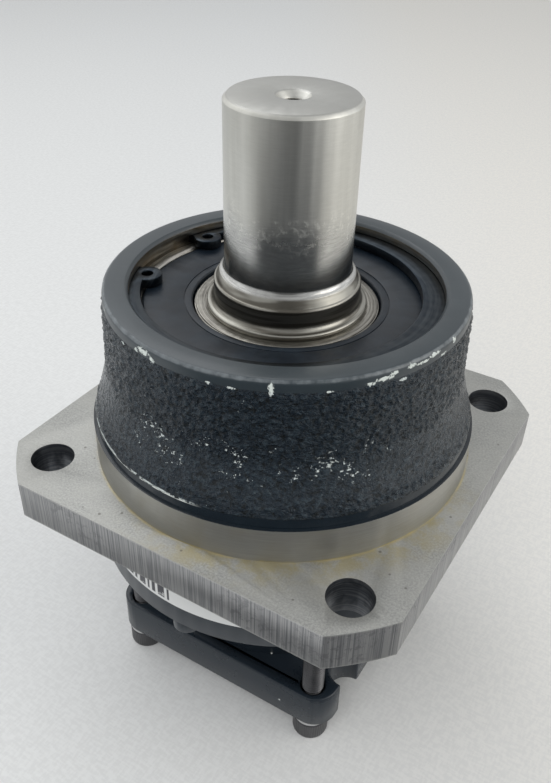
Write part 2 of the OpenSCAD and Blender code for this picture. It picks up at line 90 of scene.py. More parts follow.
# ---------------------------------------------------------------- material graphs
class Graph:
    """A material, with short calls that add its nodes."""

    def __init__(self, name, metallic=0.0, roughness=0.5, specular=0.5):
        self.mat = bpy.data.materials.new(name)
        self.mat.use_nodes = True
        self.tree = self.mat.node_tree
        self.bsdf = self.tree.nodes["Principled BSDF"]
        self.bsdf.inputs["Metallic"].default_value = metallic
        self.bsdf.inputs["Roughness"].default_value = roughness
        self.bsdf.inputs["Specular IOR Level"].default_value = specular
        coords = self.tree.nodes.new("ShaderNodeTexCoord")
        self.position = coords.outputs["Object"]
        split = self.add("ShaderNodeSeparateXYZ", Vector=self.position)
        self.x, self.y, self.z = split.outputs
        self.normal = None

    def add(self, kind, **inputs):
        node = self.tree.nodes.new(kind)
        for key, value in inputs.items():
            self.put(node.inputs[key], value)
        return node

    def put(self, socket, value):
        if isinstance(value, bpy.types.NodeSocket):
            self.tree.links.new(value, socket)
        elif isinstance(value, tuple) and len(value) == 3 and socket.type == "RGBA":
            socket.default_value = (*value, 1.0)
        else:
            socket.default_value = value

    def math(self, operation, a, b=0.0, clamp=False):
        node = self.tree.nodes.new("ShaderNodeMath")
        node.operation = operation
        node.use_clamp = clamp
        self.put(node.inputs[0], a)
        self.put(node.inputs[1], b)
        return node.outputs[0]

    def radius(self):
        square = self.math("ADD", self.math("MULTIPLY", self.x, self.x), self.math("MULTIPLY", self.y, self.y))
        return self.math("SQRT", square)

    def angle(self):
        return self.math("ARCTAN2", self.y, self.x)

    def vector(self, x, y, z):
        return self.add("ShaderNodeCombineXYZ", X=x, Y=y, Z=z).outputs[0]

    def stretched(self, sx, sy, sz):
        node = self.add("ShaderNodeMapping", Vector=self.position)
        node.inputs["Scale"].default_value = (sx, sy, sz)
        return node.outputs[0]

    def turned(self, line, along):
        """Coordinates in which noise makes fine rings round the shaft axis, without a seam."""
        scale = self.math("DIVIDE", along, self.radius())
        return self.vector(
            self.math("MULTIPLY", self.x, scale),
            self.math("MULTIPLY", self.y, scale),
            self.math("MULTIPLY", self.math("ADD", self.math("MULTIPLY", self.radius(), 1.7), self.z), line),
        )

    def noise(self, scale, detail=3.0, rough=0.55, vector=None, distortion=0.0):
        node = self.add("ShaderNodeTexNoise", Vector=vector or self.position)
        node.inputs["Scale"].default_value = scale
        node.inputs["Detail"].default_value = detail
        node.inputs["Roughness"].default_value = rough
        node.inputs["Distortion"].default_value = distortion
        return node.outputs["Fac"]

    def cells(self, scale, vector=None):
        """Distance to the nearest cell centre, and a random value for each cell."""
        node = self.add("ShaderNodeTexVoronoi", Vector=vector or self.position)
        node.inputs["Scale"].default_value = scale
        split = self.add("ShaderNodeSeparateColor", Color=node.outputs["Color"])
        return node.outputs["Distance"], split.outputs[0]

    def step(self, value, low, high, to_low=0.0, to_high=1.0):
        node = self.tree.nodes.new("ShaderNodeMapRange")
        node.interpolation_type = "SMOOTHSTEP"
        self.put(node.inputs["Value"], value)
        for key, number in (("From Min", low), ("From Max", high), ("To Min", to_low), ("To Max", to_high)):
            node.inputs[key].default_value = number
        return node.outputs["Result"]

    def window(self, value, low, high, soft):
        """One between low and high, and zero outside, with soft edges."""
        return self.math("MULTIPLY", self.step(value, low - soft, low), self.step(value, high, high + soft, 1.0, 0.0))

    def mix(self, factor, a, b):
        node = self.tree.nodes.new("ShaderNodeMix")
        node.data_type = "RGBA"
        self.put(node.inputs["Factor"], factor)
        self.put(node.inputs[6], a)
        self.put(node.inputs[7], b)
        return node.outputs[2]

    def blend(self, factor, a, b):
        node = self.tree.nodes.new("ShaderNodeMix")
        self.put(node.inputs["Factor"], factor)
        self.put(node.inputs[2], a)
        self.put(node.inputs[3], b)
        return node.outputs[0]

    def colour(self, value):
        self.put(self.bsdf.inputs["Base Color"], value)

    def roughness(self, value):
        self.put(self.bsdf.inputs["Roughness"], value)

    def metallic(self, value):
        self.put(self.bsdf.inputs["Metallic"], value)

    def bump(self, height, strength, distance):
        node = self.add("ShaderNodeBump", Height=height)
        node.inputs["Strength"].default_value = strength
        node.inputs["Distance"].default_value = distance
        if self.normal is not None:
            self.tree.links.new(self.normal, node.inputs["Normal"])
        self.normal = node.outputs["Normal"]
        self.put(self.bsdf.inputs["Normal"], self.normal)


def iron_face():
    """Bare milled face of the flange, with a yellow film of oil beside the pilot."""
    g = Graph("iron_face", metallic=0.75, roughness=0.5)
    patch = g.noise(45, 4, 0.6)
    grain = g.noise(1500, 3, 0.7)
    base = g.mix(g.step(patch, 0.3, 0.7), (0.30, 0.305, 0.295), (0.40, 0.40, 0.38))
    base = g.mix(g.step(grain, 0.35, 0.7), base, (0.46, 0.46, 0.44))
    mill = g.noise(1.0, 3, 0.6, g.stretched(18, 900, 1))
    base = g.mix(g.math("MULTIPLY", g.step(mill, 0.45, 0.75), 0.12), base, (0.24, 0.24, 0.235))
    near = g.step(g.radius(), PILOT_R, PILOT_R + 15 * MM, 1.0, 0.0)
    side = g.window(g.angle(), -1.45, -0.25, 0.5)
    film = g.math("MULTIPLY", g.math("MULTIPLY", near, side), g.step(g.noise(110, 4, 0.65), 0.36, 0.62))
    base = g.mix(g.math("MULTIPLY", film, 0.8), base, (0.40, 0.35, 0.20))
    ring = g.step(g.radius(), PILOT_R + 0.3 * MM, PILOT_R + 1.0 * MM, 1.0, 0.0)
    gold = g.math("MULTIPLY", ring, g.step(g.noise(80, 3, 0.6), 0.36, 0.60))
    base = g.mix(g.math("MULTIPLY", gold, 0.7), base, (0.50, 0.43, 0.24))
    gap, pick = g.cells(160)
    spots = g.math("MULTIPLY", g.step(gap, 0.05, 0.10, 1.0, 0.0), g.step(pick, 0.80, 0.82))
    base = g.mix(g.math("MULTIPLY", spots, 0.6), base, (0.10, 0.09, 0.08))
    g.colour(base)
    g.roughness(g.blend(patch, 0.40, 0.58))
    g.bump(g.noise(900, 4, 0.65), 0.25, 0.15 * MM)
    return g.mat


def milled_edge():
    """Sawn and milled edge of the flange, with upright streaks and torn, bright corners."""
    g = Graph("milled_edge", metallic=0.7, roughness=0.42)
    streaks = g.noise(1.0, 2, 0.6, g.stretched(1600, 1600, 18))
    broad = g.noise(1.0, 2, 0.5, g.stretched(260, 260, 12))
    torn = g.noise(420, 5, 0.7, distortion=0.6)
    shade = g.math("ADD", g.math("MULTIPLY", streaks, 0.88), g.math("MULTIPLY", broad, 0.12))
    base = g.mix(g.step(shade, 0.36, 0.60), (0.20, 0.205, 0.215), (0.40, 0.40, 0.40))
    tear = g.math("MULTIPLY", g.step(torn, 0.52, 0.6), g.step(g.noise(38, 2, 0.5), 0.45, 0.6))
    base = g.mix(g.math("MULTIPLY", tear, 0.4), base, (0.14, 0.14, 0.15))
    middle = -7 * MM
    out = g.math("ABSOLUTE", g.math("SUBTRACT", g.z, middle))
    lip = g.step(g.math("ADD", out, g.math("MULTIPLY", torn, 1.6 * MM)), 7.1 * MM, 7.6 * MM)
    g.colour(g.mix(g.math("MULTIPLY", lip, 0.5), base, (0.56, 0.56, 0.54)))
    g.roughness(g.blend(streaks, 0.40, 0.55))
    g.bump(streaks, 0.4, 0.2 * MM)
    g.bump(torn, 0.25, 0.2 * MM)
    return g.mat


def hole_wall():
    """Drilled walls of the bolt holes, coloured dark as painted shade inside the holes, with darker patches and
    lighter drill rings.
    """
    g = Graph("hole_wall", metallic=0.85, roughness=0.38)
    rings = g.noise(1.0, 3, 0.6, g.stretched(60, 60, 1800))
    patch = g.noise(160, 3, 0.6)
    # Dark base colour: painted shade inside the bolt holes.
    base = g.mix(g.step(rings, 0.35, 0.7), (0.09, 0.10, 0.115), (0.20, 0.205, 0.215))
    g.colour(g.mix(g.math("MULTIPLY", g.step(patch, 0.5, 0.62), 0.5), base, (0.03, 0.034, 0.042)))
    g.roughness(g.blend(patch, 0.3, 0.5))
    g.bump(rings, 0.4, 0.15 * MM)
    return g.mat


def pilot_face():
    """Turned side of the pilot, bare iron with fine rings and a warm tint low down."""
    g = Graph("pilot_face", metallic=0.8, roughness=0.38)
    rings = g.noise(1.0, 3, 0.6, g.turned(2600, 6))
    patch = g.noise(60, 4, 0.6)
    base = g.mix(rings, (0.29, 0.285, 0.26), (0.42, 0.415, 0.385))
    base = g.mix(g.math("MULTIPLY", g.step(patch, 0.4, 0.7), 0.45), base, (0.32, 0.30, 0.24))
    foot = g.math("MULTIPLY", g.step(g.z, 0.1 * MM, 0.8 * MM, 1.0, 0.0), g.step(patch, 0.36, 0.60))
    base = g.mix(foot, base, (0.50, 0.43, 0.24))
    g.colour(base)
    g.roughness(g.blend(patch, 0.34, 0.5))
    g.bump(rings, 0.2, 0.05 * MM)
    return g.mat


# Bare spots knocked in the rim: angle in degrees, height below the rim, and half width and height in mm
RIM_CHIPS = (
    (-102.5, 2.0, 2.4, 1.0), (-99.0, 3.4, 1.0, 0.8), (-106.0, 3.0, 0.9, 0.7), (-63.4, 2.6, 0.8, 2.1),
    (-32.0, 2.5, 3.0, 0.65), (-29.5, 1.6, 1.5, 0.5), (-36.5, 3.2, 1.4, 0.6), (-23.5, 1.2, 1.4, 0.7),
    (-19.0, 1.7, 2.6, 0.5), (-14.0, 1.3, 2.4, 0.6), (-10.0, 3.0, 1.6, 0.5), (-4.0, 1.2, 0.9, 0.9),
    (-130.0, 2.4, 0.6, 0.8), (-144.0, 1.4, 0.6, 1.6), (-80.5, 3.6, 0.8, 0.35), (-74.0, 3.8, 1.2, 0.3),
    (-48.0, 3.7, 1.0, 0.3), (-26.0, 4.6, 1.2, 0.5), (-113.0, 4.2, 0.8, 0.4),
)


def chip_mask(g):
    """One inside the bare spots of the rim, with torn edges."""
    ragged = g.math("MULTIPLY", g.math("SUBTRACT", g.noise(900, 5, 0.75, distortion=0.8), 0.5), 7.5)
    inward = g.math("DIVIDE", g.math("SUBTRACT", RIM_R, g.radius()), 1.3 * MM)
    depth = g.math("MULTIPLY", g.math("MAXIMUM", inward, 0.0), g.math("MAXIMUM", inward, 0.0))
    mask = None
    for degrees, drop, wide, high in RIM_CHIPS:
        a = math.radians(degrees)
        across = g.math("MULTIPLY", g.math("SUBTRACT", g.angle(), a), RIM_R / (wide * MM))
        down = g.math("MULTIPLY", g.math("SUBTRACT", g.z, RIM_Z - drop * MM), 1.0 / (high * MM))
        flat = g.math("ADD", g.math("MULTIPLY", across, across), g.math("MULTIPLY", down, down))
        far = g.math("ADD", flat, depth)
        spot = g.step(g.math("ADD", far, ragged), 0.7, 0.95, 1.0, 0.0)
        near = g.step(far, 2.4, 3.0, 1.0, 0.0)
        spot = g.math("MULTIPLY", spot, near)
        mask = spot if mask is None else g.math("MAXIMUM", mask, spot)
    return mask


def rim_paint():
    """Smooth black paint over the turned rim, with a painted highlight along its corner, and chipped."""
    g = Graph("rim_paint", roughness=0.34, specular=0.75)
    rings = g.noise(1.0, 3, 0.55, g.turned(1700, 5))
    haze = g.noise(70, 4, 0.6)
    base = g.mix(haze, (0.016, 0.025, 0.032), (0.030, 0.042, 0.050))
    # Painted highlight along the outer corner of the rim, broken by noise.
    corner = g.math("ADD", g.radius(), g.z)
    rub_and_highlight = g.math("ADD", corner, g.math("MULTIPLY", g.noise(240, 4, 0.7), 0.9 * MM))
    highlight_mask = g.step(rub_and_highlight, RIM_R + RIM_Z - 0.75 * MM, RIM_R + RIM_Z - 0.35 * MM)
    base = g.mix(g.math("MULTIPLY", highlight_mask, 0.55), base, (0.22, 0.245, 0.26))
    pale_marks = chip_mask(g)
    g.colour(g.mix(pale_marks, base, (0.62, 0.67, 0.64)))
    g.roughness(g.blend(pale_marks, g.blend(haze, 0.26, 0.40), 0.62))
    g.bump(rings, 0.12, 0.05 * MM)
    g.bump(g.math("MULTIPLY", pale_marks, -1.0), 0.6, 0.12 * MM)
    return g.mat


def band_paint():
    """Glossy black band under the rough casting, with a broken pale line along its upper edge that is a painted
    highlight.
    """
    g = Graph("band_paint", roughness=0.2, specular=0.5)
    haze = g.noise(120, 3, 0.5)
    # Painted highlight: a broken pale line along the band's upper edge, on the lit side.
    edge = g.window(g.z, BAND_TOP - 0.45 * MM, BAND_TOP - 0.1 * MM, 0.15 * MM)
    highlight_mask = g.step(g.noise(150, 4, 0.7), 0.40, 0.46)
    left = g.window(g.angle(), -2.75, -1.52, 0.12)
    line = g.math("MULTIPLY", g.math("MULTIPLY", edge, highlight_mask), left)
    base = g.mix(haze, (0.004, 0.008, 0.013), (0.010, 0.017, 0.024))
    g.colour(g.mix(line, base, (0.6, 0.62, 0.6)))
    g.roughness(g.blend(haze, 0.14, 0.3))
    g.bump(g.noise(420, 3, 0.6), 0.35, 0.2 * MM)
    return g.mat


def cast_paint():
    """Black paint over rough casting, with pale flecks where the paint has gone, painted highlights on the ridges and
    painted shade in the pits of the relief, and a painted highlight line at the foot of the flare.
    """
    g = Graph("cast_paint", roughness=0.25, specular=0.5)
    g.bsdf.inputs["Specular Tint"].default_value = (0.86, 0.95, 1.0, 1.0)
    g.bsdf.inputs["Coat Weight"].default_value = 0.2
    g.bsdf.inputs["Coat Roughness"].default_value = 0.22
    pits = g.noise(1.0, 3, 0.62, g.stretched(560, 560, 760), distortion=0.5)
    fine = g.noise(1.0, 3, 0.6, g.stretched(1500, 1500, 1800))
    patch = g.noise(70, 3, 0.5)
    base = g.mix(patch, (0.003, 0.007, 0.013), (0.008, 0.015, 0.024))
    # Painted highlight on the ridges of the relief and painted shade in its pits.
    base = g.mix(g.step(pits, 0.52, 0.64), base, (0.020, 0.031, 0.041))
    base = g.mix(g.step(pits, 0.36, 0.46, 1.0, 0.0), base, (0.001, 0.002, 0.003))
    crevice = g.step(pits, 0.36, 0.48)
    crumb = g.noise(1.0, 4, 0.72, g.stretched(700, 700, 900))
    low = g.window(g.z, 29 * MM, 35 * MM, 6 * MM)
    front = g.window(g.angle(), -1.75, -0.75, 0.4)
    clump = g.step(g.noise(140, 3, 0.6), 0.46, 0.56)
    where = g.math("MULTIPLY", g.math("MULTIPLY", low, front), clump)
    dense = g.step(g.math("ADD", crumb, g.math("MULTIPLY", where, 0.085)), 0.665, 0.685)
    stray = g.math("MULTIPLY", g.step(crumb, 0.71, 0.73), 0.8)
    fleck = g.math("MAXIMUM", g.math("MULTIPLY", dense, g.step(where, 0.1, 0.3)), stray)
    pale_marks = g.math("MAXIMUM", fleck, chip_mask(g))
    # Painted highlight: a broken pale line at the foot of the flare on the lit side, joined to the real flecks and
    # chips.
    line = g.window(g.z, BAND_TOP - 0.2 * MM, BAND_TOP + 0.25 * MM, 0.25 * MM)
    left = g.window(g.angle(), -2.75, -1.52, 0.12)
    highlight_mask = g.step(g.noise(1.0, 4, 0.7, g.stretched(210, 210, 260)), 0.44, 0.50)
    pale_marks = g.math("MAXIMUM", pale_marks, g.math("MULTIPLY", g.math("MULTIPLY", line, highlight_mask), left))
    g.colour(g.mix(pale_marks, base, (0.62, 0.67, 0.66)))
    g.roughness(g.blend(pale_marks, g.blend(crevice, 0.5, g.blend(fine, 0.10, 0.26)), 0.6))
    g.bump(pits, 1.0, 1.5 * MM)
    g.bump(fine, 0.8, 0.4 * MM)
    return g.mat


def smooth_black(name, dark, light, rough, specks=0.0):
    """Plain black paint, with or without tiny pale specks."""
    g = Graph(name, roughness=rough, specular=0.5)
    haze = g.noise(60, 4, 0.6)
    base = g.mix(haze, dark, light)
    if specks:
        gap, pick = g.cells(420)
        dots = g.math("MULTIPLY", g.step(gap, 0.12, 0.2, 1.0, 0.0), g.step(pick, 1 - specks, 1.005 - specks))
        base = g.mix(dots, base, (0.6, 0.62, 0.6))
    g.colour(base)
    g.roughness(g.blend(haze, rough - 0.06, rough + 0.1))
    g.bump(g.noise(700, 3, 0.6), 0.12, 0.1 * MM)
    return g.mat


def shaft_steel():
    """Ground shaft end: matt and faintly streaked above a ragged line of wear, and mirror-bright below it, with a
    painted dark reflection on the seat and painted shade just above the seal.
    """
    g = Graph("shaft_steel", metallic=1.0, roughness=0.3)
    rings = g.noise(1.0, 4, 0.6, g.turned(2400, 5))
    blur = g.noise(1.0, 4, 0.6, g.stretched(60, 60, 34))
    line = g.math("ADD", g.z, g.math("MULTIPLY", g.math("SUBTRACT", blur, 0.5), 18 * MM))
    upper = g.step(line, 77 * MM, 89 * MM)
    scuff = g.math("MULTIPLY", g.window(line, 78 * MM, 87 * MM, 3 * MM), g.step(g.noise(520, 5, 0.78), 0.53, 0.63))
    streak = g.noise(1.0, 3, 0.6, g.stretched(420, 420, 12))
    wash = g.noise(1.0, 3, 0.55, g.stretched(70, 70, 16))
    low = g.mix(g.step(rings, 0.3, 0.7), (0.44, 0.44, 0.43), (0.62, 0.62, 0.60))
    low = g.mix(g.math("MULTIPLY", g.step(wash, 0.45, 0.7), 0.35), low, (0.34, 0.33, 0.31))
    high = g.mix(g.math("ADD", g.math("MULTIPLY", streak, 0.6), g.math("MULTIPLY", rings, 0.4)),
                 (0.50, 0.495, 0.46), (0.84, 0.835, 0.79))
    high = g.mix(g.math("MULTIPLY", g.step(wash, 0.40, 0.66), 0.30), high, (0.44, 0.43, 0.38))
    base = g.mix(upper, low, high)
    base = g.mix(g.math("MULTIPLY", scuff, 0.5), base, (0.88, 0.87, 0.82))
    # Seat below the collar: turned grooves, darkened as a painted dark reflection.
    seat = g.step(g.z, SEAT_TOP, SEAT_TOP + 0.8 * MM, 1.0, 0.0)
    grooves = g.noise(1.0, 2, 0.5, g.turned(900, 1))
    base = g.mix(seat, base, g.mix(g.step(grooves, 0.36, 0.60), (0.15, 0.14, 0.12), (0.42, 0.41, 0.37)))
    # Painted shade on the shaft just above the seal, inside the bore.
    side = g.window(g.z, SEAT_FOOT, SEAT_TOP - 3.2 * MM, 0.5 * MM)
    base = g.mix(g.math("MULTIPLY", side, 0.65), base, (0.10, 0.092, 0.078))
    end = g.step(g.z, SHAFT_TOP - 0.5 * MM, SHAFT_TOP - 0.1 * MM)
    base = g.mix(g.math("MULTIPLY", end, 0.7), base, (0.40, 0.40, 0.385))
    g.colour(base)
    soft = g.math("ADD", g.blend(streak, 0.33, 0.43), g.math("MULTIPLY", scuff, 0.12))
    mirror = g.blend(seat, g.blend(wash, 0.17, 0.29), 0.34)
    g.roughness(g.blend(upper, mirror, soft))
    g.bump(rings, 0.10, 0.05 * MM)
    g.bump(scuff, 0.3, 0.05 * MM)
    return g.mat


def turned_metal(name, dark, light, rough, lines=2200, stain=None):
    """Bare turned metal with fine rings round the shaft axis."""
    g = Graph(name, metallic=1.0, roughness=rough)
    rings = g.noise(1.0, 4, 0.6, g.turned(lines, 5))
    patch = g.noise(110, 4, 0.6)
    coarse = g.noise(1.0, 2, 0.5, g.turned(lines * 0.45, 1))
    both = g.math("ADD", g.math("MULTIPLY", rings, 0.5), g.math("MULTIPLY", coarse, 0.5))
    base = g.mix(g.step(both, 0.36, 0.62), dark, light)
    if stain:
        base = g.mix(g.math("MULTIPLY", g.step(patch, 0.42, 0.7), 0.7), base, stain)
    g.colour(base)
    g.roughness(g.blend(patch, rough - 0.03, rough + 0.05))
    g.bump(coarse, 0.35, 0.08 * MM)
    g.bump(rings, 0.22, 0.05 * MM)
    return g.mat


def plain_metal(name, dark, light, rough, scale=260, metallic=1.0):
    """Bare metal with an even fine grain, for parts off the shaft axis."""
    g = Graph(name, metallic=metallic, roughness=rough)
    grain = g.noise(scale, 4, 0.65)
    fine = g.noise(scale * 8, 3, 0.6)
    g.colour(g.mix(grain, dark, light))
    g.roughness(g.blend(grain, rough - 0.08, rough + 0.12))
    g.bump(fine, 0.15, 0.05 * MM)
    return g.mat


def seal_rubber():
    """Moulded black rubber with faint rings and a little dust."""
    g = Graph("seal_rubber", roughness=0.38, specular=0.4)
    rings = g.noise(1.0, 3, 0.5, g.turned(900, 5))
    dust = g.noise(120, 5, 0.65)
    base = g.mix(g.step(dust, 0.35, 0.75), (0.004, 0.008, 0.014), (0.014, 0.022, 0.032))
    grit = g.step(g.noise(1500, 4, 0.75), 0.68, 0.72)
    g.colour(g.mix(g.math("MULTIPLY", grit, 0.5), base, (0.3, 0.3, 0.29)))
    g.roughness(g.blend(dust, 0.30, 0.48))
    g.bump(rings, 0.15, 0.1 * MM)
    return g.mat


# Plain marks on the label in place of print: middle height above its foot in mm, half height, and angles
LABEL_MARKS = (
    (3.6, 2.4, -2.02, -2.00), (3.6, 2.4, -1.985, -1.945), (3.6, 2.4, -1.93, -1.92), (3.6, 2.4, -1.90, -1.86),
    (3.6, 2.4, -1.84, -1.825), (3.6, 2.4, -1.80, -1.76), (3.6, 2.4, -1.74, -1.73), (3.6, 2.4, -1.71, -1.69),
    (3.6, 2.4, -1.67, -1.63), (3.6, 2.4, -1.61, -1.60), (9.2, 0.5, -2.00, -1.45), (11.0, 0.5, -2.00, -1.30),
)


def label_film():
    """White film with plain dark blocks and bars in place of print."""
    g = Graph("label_film", roughness=0.4, specular=0.45)
    foot = bottom("identity_label")
    paper = g.mix(g.noise(90, 3, 0.6), (0.60, 0.61, 0.61), (0.69, 0.70, 0.69))
    marks = None
    for height, half, start, end in LABEL_MARKS:
        middle = foot + height * MM
        rows = g.window(g.z, middle - half * MM, middle + half * MM, 0.12 * MM)
        mark = g.math("MULTIPLY", rows, g.window(g.angle(), start, end, 0.003))
        marks = mark if marks is None else g.math("MAXIMUM", marks, mark)
    rub_and_highlight = g.step(g.noise(260, 4, 0.7), 0.30, 0.42)
    g.colour(g.mix(g.math("MULTIPLY", marks, rub_and_highlight), paper, (0.06, 0.06, 0.07)))
    g.bump(g.noise(500, 2, 0.5), 0.08, 0.05 * MM)
    return g.mat


def floor_cloth():
    """Pale matt floor with a barely visible weave and painted warm light on one side."""
    g = Graph("floor_cloth", roughness=0.95, specular=0.1)
    weave = g.noise(1.0, 2, 0.5, g.stretched(900, 240, 1))
    cross = g.noise(1.0, 2, 0.5, g.stretched(240, 900, 1))
    cloud = g.noise(1.4, 2, 0.5)
    cloth = g.math("ADD", weave, cross)
    base = g.mix(cloud, (0.700, 0.712, 0.718), (0.735, 0.742, 0.738))
    # Painted warm light on the floor towards +X and +Y.
    across = g.math("ADD", g.math("MULTIPLY", g.x, 0.87), g.math("MULTIPLY", g.y, 0.5))
    base = g.mix(g.step(across, -0.05, 0.22), base, (0.735, 0.720, 0.685))
    threads = g.math("MULTIPLY", g.step(cloth, 0.8, 1.2), 0.4)
    g.colour(g.mix(threads, base, (0.60, 0.605, 0.605)))
    g.bump(cloth, 0.15, 0.3 * MM)
    return g.mat


M = {
    "iron_face": iron_face(),
    "milled_edge": milled_edge(),
    "hole_wall": hole_wall(),
    "pilot_face": pilot_face(),
    "rim_paint": rim_paint(),
    "band_paint": band_paint(),
    "cast_paint": cast_paint(),
    "bore_metal": turned_metal("bore_metal", (0.16, 0.15, 0.13), (0.34, 0.32, 0.28), 0.36, 1500, (0.24, 0.18, 0.11)),
    "case_paint": smooth_black("case_paint", (0.030, 0.036, 0.044), (0.058, 0.066, 0.075), 0.34, 0.03),
    "block_paint": smooth_black("block_paint", (0.009, 0.014, 0.021), (0.020, 0.028, 0.037), 0.26, 0.012),
    "shaft_steel": shaft_steel(),
    "sleeve_steel": turned_metal("sleeve_steel", (0.16, 0.15, 0.135), (0.42, 0.405, 0.365), 0.34),
    "carrier_steel": turned_metal("carrier_steel", (0.22, 0.21, 0.19), (0.50, 0.485, 0.45), 0.36),
    "ring_black": turned_metal("ring_black", (0.018, 0.025, 0.034), (0.050, 0.060, 0.070), 0.34, 700),
    "rubber": seal_rubber(),
    "label": label_film(),
    "screw_black": plain_metal("screw_black", (0.06, 0.06, 0.065), (0.15, 0.15, 0.155), 0.30),
    "zinc": plain_metal("zinc", (0.56, 0.56, 0.56), (0.74, 0.74, 0.74), 0.28),
    "brass": plain_metal("brass", (0.55, 0.40, 0.16), (0.72, 0.55, 0.26), 0.32),
    "bronze": plain_metal("bronze", (0.46, 0.31, 0.15), (0.60, 0.44, 0.24), 0.36),
    "copper": plain_metal("copper", (0.60, 0.30, 0.18), (0.76, 0.42, 0.27), 0.34),
    "hard_steel": plain_metal("hard_steel", (0.50, 0.50, 0.51), (0.66, 0.66, 0.67), 0.22),
    "spring_steel": plain_metal("spring_steel", (0.16, 0.16, 0.17), (0.28, 0.28, 0.29), 0.32),
}


NODE_LOOK = {
    "retaining_ring": "ring_black", "seal_carrier": "carrier_steel", "carrier_o_ring": "rubber",
    "shaft_seal": "rubber", "garter_spring": "spring_steel", "bearing_outer_race": "hard_steel",
    "bearing_inner_race": "hard_steel", "bearing_balls": "hard_steel", "bearing_cage": "brass",
    "bearing_lock_ring": "spring_steel", "wear_sleeve": "sleeve_steel", "drive_shaft": "shaft_steel",
    "swash_plate": "hard_steel", "trunnion_pins": "hard_steel", "trunnion_bushes": "bronze",
    "centring_springs": "spring_steel", "centring_plungers": "hard_steel", "cylinder_block": "bronze",
    "pistons": "hard_steel", "slippers": "bronze", "slipper_retainer": "hard_steel",
    "ball_guide": "hard_steel", "block_spring": "spring_steel", "spring_washers": "hard_steel",
    "valve_plate": "bronze", "valve_plate_pin": "hard_steel", "rear_bearing_shell": "hard_steel",
    "rear_bearing_needles": "hard_steel", "rear_bearing_cage": "brass", "rear_case": "case_paint",
    "case_o_ring": "rubber", "port_block": "block_paint", "port_plate": "block_paint", "port_block_o_ring": "rubber",
    "drain_plug": "zinc", "drain_plug_washer": "copper", "case_screws": "case_paint",
    "tie_screws": "screw_black", "tie_washers": "zinc", "identity_label": "label",
}


def dress(node, look):
    """Gives a CAD node one material."""
    mesh = nodes[node].data
    mesh.materials.clear()
    mesh.materials.append(M[look])


def soften(node, width, angle=30):
    """Smooth shading with a small bevel on the hard edges."""
    obj = nodes[node]
    for polygon in obj.data.polygons:
        polygon.use_smooth = True
    weld = obj.modifiers.new("weld", "WELD")
    weld.merge_threshold = 2e-6
    if width:
        bevel = obj.modifiers.new("bevel", "BEVEL")
        bevel.width = width
        bevel.segments = 2
        bevel.limit_method = "ANGLE"
        bevel.angle_limit = math.radians(angle)
        bevel.use_clamp_overlap = True
        bevel.harden_normals = True


def dress_housing():
    """Sorts the faces of the front housing into its bare and painted zones."""
    mesh = nodes["front_housing"].data
    mesh.materials.clear()
    looks = ["iron_face", "milled_edge", "hole_wall", "pilot_face", "band_paint", "cast_paint", "rim_paint", "bore_metal"]
    for look in looks:
        mesh.materials.append(M[look])
    for polygon in mesh.polygons:
        c = polygon.center
        r = math.hypot(c.x, c.y)
        # Corners tell where a long flat face lies better than its centre does
        reach = max(math.hypot(*mesh.vertices[v].co.xy) for v in polygon.vertices)
        from_bolt = math.hypot(abs(c.x) - BOLT_AT, abs(c.y) - BOLT_AT)
        if reach < PILOT_R - 8 * MM and c.z < RIM_Z - 1.1 * MM and r < BORE_R + 2 * MM:
            look = "bore_metal"
        elif c.z < 0.05 * MM and from_bolt < BOLT_HOLE_R and abs(polygon.normal.z) < 0.5:
            look = "hole_wall"
        elif c.z < 0.05 * MM:
            look = "milled_edge" if abs(polygon.normal.z) < 0.5 and r > PILOT_R else "iron_face"
        elif c.z < PILOT_TOP:
            look = "pilot_face"
        elif c.z < BAND_TOP + 0.1 * MM:
            look = "band_paint"
        elif c.z < RIM_FOOT:
            look = "cast_paint"
        else:
            look = "rim_paint"
        polygon.material_index = looks.index(look)


# ---------------------------------------------------------------- pieces made here
def grid_mesh(name, rows, closed=True):
    """Surface through rows of points. Each row is a ring, and closed joins the last row to the first."""
    count = len(rows[0])
    points = [p for row in rows for p in row]
    faces = []
    last = len(rows) if closed else len(rows) - 1
    for i in range(last):
        a, b = i * count, ((i + 1) % len(rows)) * count
        for j in range(count):
            k = (j + 1) % count
            faces.append((a + j, a + k, b + k, b + j))
    if not closed:
        faces.append(tuple(range(count - 1, -1, -1)))
        faces.append(tuple(range((len(rows) - 1) * count, len(rows) * count)))
    mesh = bpy.data.meshes.new(name)
    mesh.from_pydata(points, [], faces)
    mesh.validate()
    mesh.shade_smooth()
    obj = bpy.data.objects.new(name, mesh)
    bpy.context.scene.collection.objects.link(obj)
    return obj


def lathe_rows(profile, segments, centre=(0.0, 0.0)):
    """Rings of points for (radius, height) pairs. A radius may be a function of the angle."""
    rows = []
    for r, z in profile:
        row = []
        for j in range(segments):
            a = 2 * math.pi * j / segments
            rr = r(a) if callable(r) else r
            row.append((centre[0] + rr * math.cos(a), centre[1] + rr * math.sin(a), z))
        rows.append(row)
    return rows


